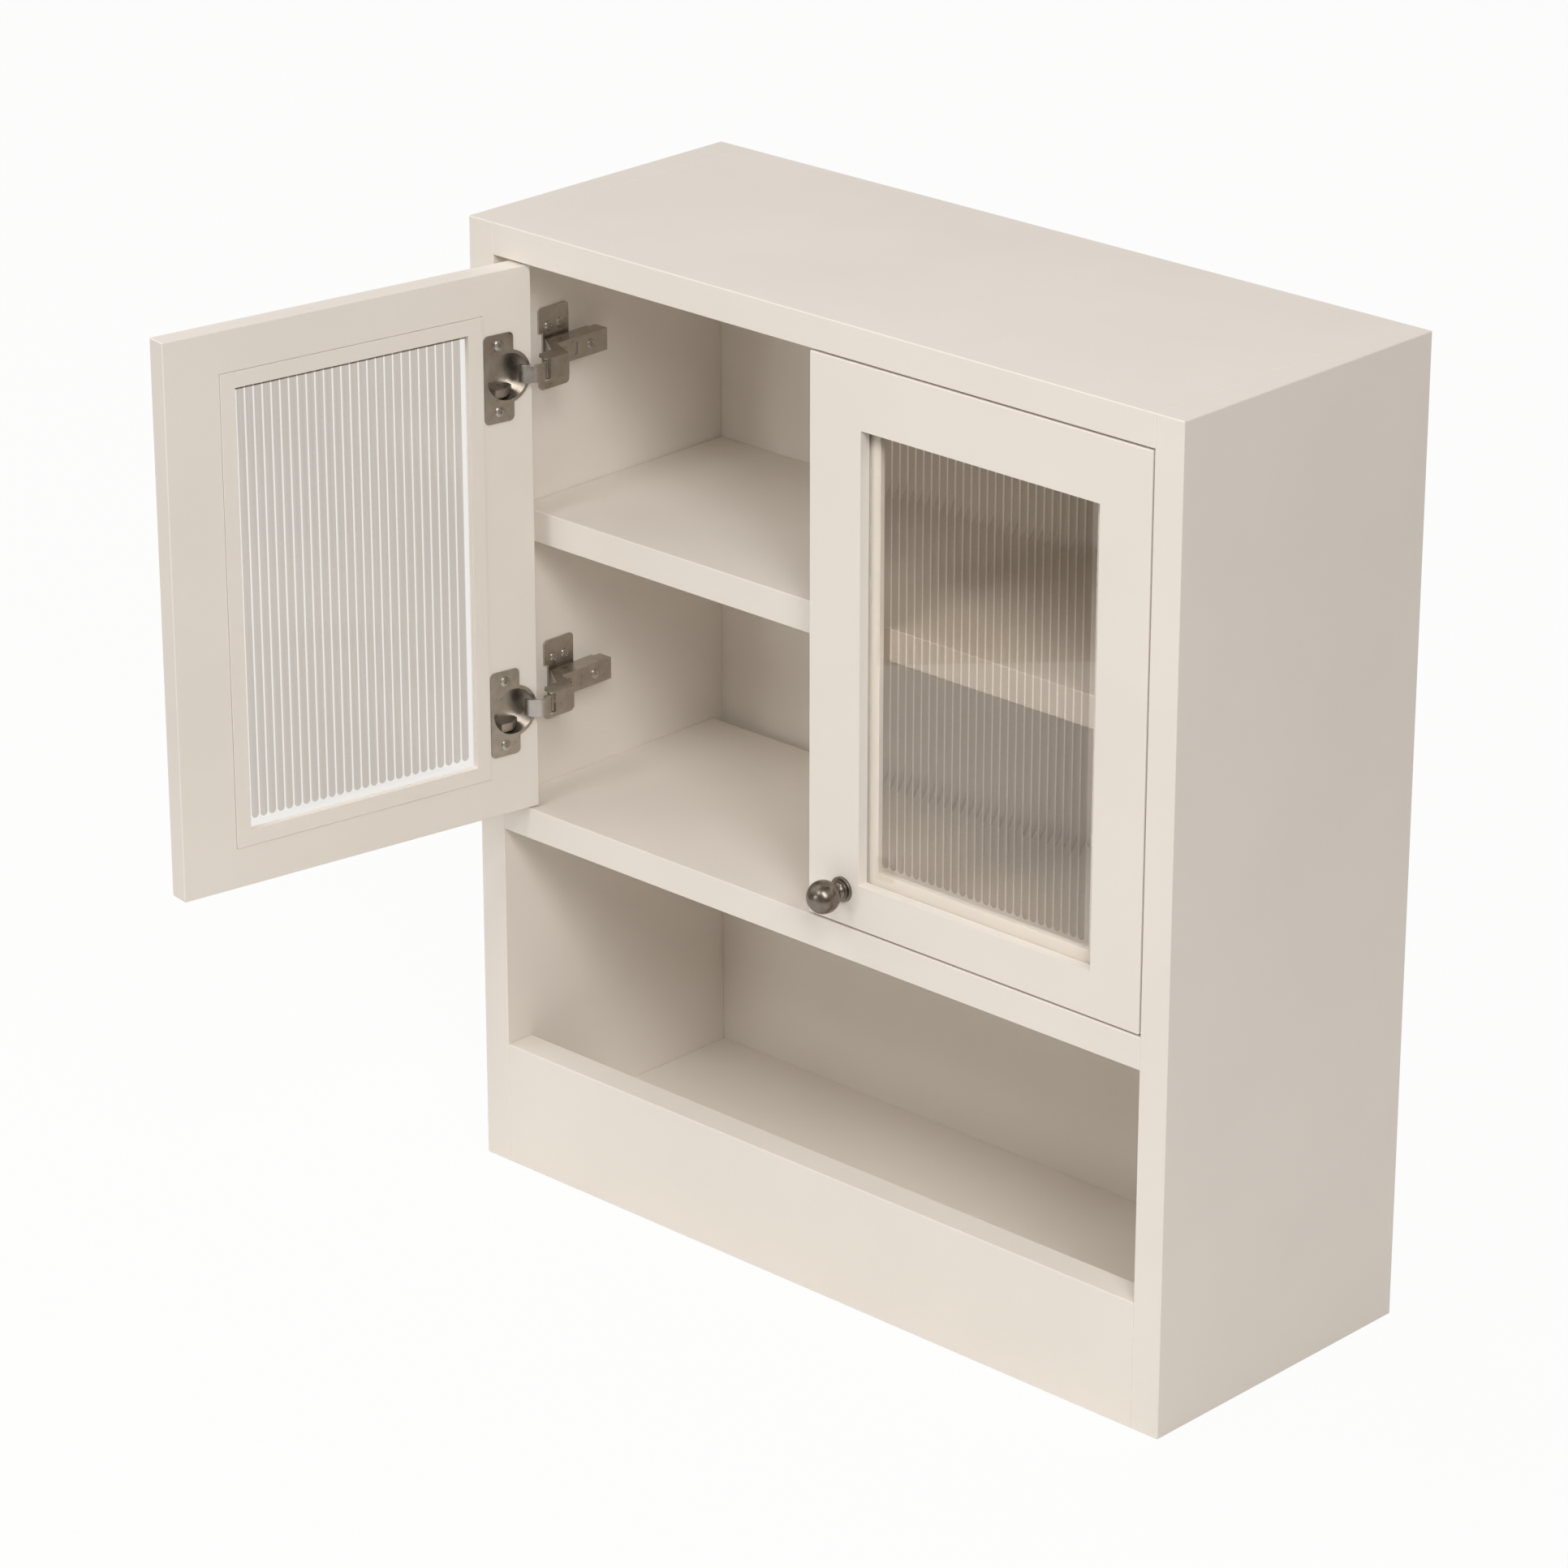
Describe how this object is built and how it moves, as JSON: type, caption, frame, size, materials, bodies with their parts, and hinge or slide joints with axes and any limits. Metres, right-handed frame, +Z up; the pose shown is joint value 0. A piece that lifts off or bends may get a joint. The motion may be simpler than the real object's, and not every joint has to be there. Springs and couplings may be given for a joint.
{
  "type": "over the toilet wall cabinet",
  "caption": "Painted wall cabinet with inset reeded glass doors on concealed hinges, a shelf inside and an open niche with a front rail below.",
  "frame": {"origin": "middle of the two wall fixing holes, on the wall plane", "axes": "+X to the right seen from the front, +Y towards the wall, +Z up; the doors face -Y"},
  "size_m": [0.6357, 0.4997, 0.67],
  "materials": {
    "painted_board": "satin paint",
    "reeded_glass": "clear, reeded",
    "hinge_steel": "nickel plated",
    "pewter": "satin dark nickel",
    "beech": "raw"
  },
  "bodies": {
    "cabinet": {"side_panel_left": "painted_board", "side_panel_right": "painted_board", "top_panel": "painted_board", "cabinet_floor": "painted_board", "bottom_panel": "painted_board", "niche_front_rail": "painted_board", "hanging_rail": "painted_board", "lower_back_rail": "painted_board", "back_panel": "painted_board", "middle_shelf": "painted_board", "dowels": "beech", "shelf_pins": "hinge_steel", "left_lower_hinge_plate": "hinge_steel", "left_lower_hinge_arm": "hinge_steel", "left_upper_hinge_plate": "hinge_steel", "left_upper_hinge_arm": "hinge_steel", "left_plate_screws": "hinge_steel", "left_arm_screws": "hinge_steel", "left_knuckle_pins": "hinge_steel", "right_lower_hinge_plate": "hinge_steel", "right_lower_hinge_arm": "hinge_steel", "right_upper_hinge_plate": "hinge_steel", "right_upper_hinge_arm": "hinge_steel", "right_plate_screws": "hinge_steel", "right_arm_screws": "hinge_steel", "right_knuckle_pins": "hinge_steel"},
    "left_door": {"left_door_frame": "painted_board", "left_glass": "reeded_glass", "left_glass_bead": "painted_board", "left_knob": "pewter", "left_knob_stud": "hinge_steel", "left_cup_screws": "hinge_steel", "left_lower_hinge_cup": "hinge_steel", "left_upper_hinge_cup": "hinge_steel"},
    "left_hinge_links": {"left_lower_hinge_link": "hinge_steel", "left_upper_hinge_link": "hinge_steel"},
    "right_door": {"right_door_frame": "painted_board", "right_glass": "reeded_glass", "right_glass_bead": "painted_board", "right_knob": "pewter", "right_knob_stud": "hinge_steel", "right_cup_screws": "hinge_steel", "right_lower_hinge_cup": "hinge_steel", "right_upper_hinge_cup": "hinge_steel"},
    "right_hinge_links": {"right_lower_hinge_link": "hinge_steel", "right_upper_hinge_link": "hinge_steel"}
  },
  "joints": [
    {"name": "left_door_swing", "type": "hinge", "parent": "cabinet", "child": "left_door", "pos_m": [-0.267, -0.2356, -0.1545], "axis": [0, 0, 1], "range_deg": [0, 100]},
    {"name": "left_link_turn", "type": "hinge", "parent": "cabinet", "child": "left_hinge_links", "pos_m": [-0.2465, -0.22, -0.1545], "axis": [0, 0, 1], "range_deg": [-65, 0]},
    {"name": "right_door_swing", "type": "hinge", "parent": "cabinet", "child": "right_door", "pos_m": [0.267, -0.2356, -0.1545], "axis": [0, 0, 1], "range_deg": [0, 100]},
    {"name": "right_link_turn", "type": "hinge", "parent": "cabinet", "child": "right_hinge_links", "pos_m": [0.2465, -0.22, -0.1545], "axis": [0, 0, 1], "range_deg": [-65, 0]}
  ],
  "couplings": [
    {"joint": "left_link_turn", "follows": "left_door_swing", "ratio": -0.65},
    {"joint": "right_link_turn", "follows": "right_door_swing", "ratio": -0.65}
  ]
}
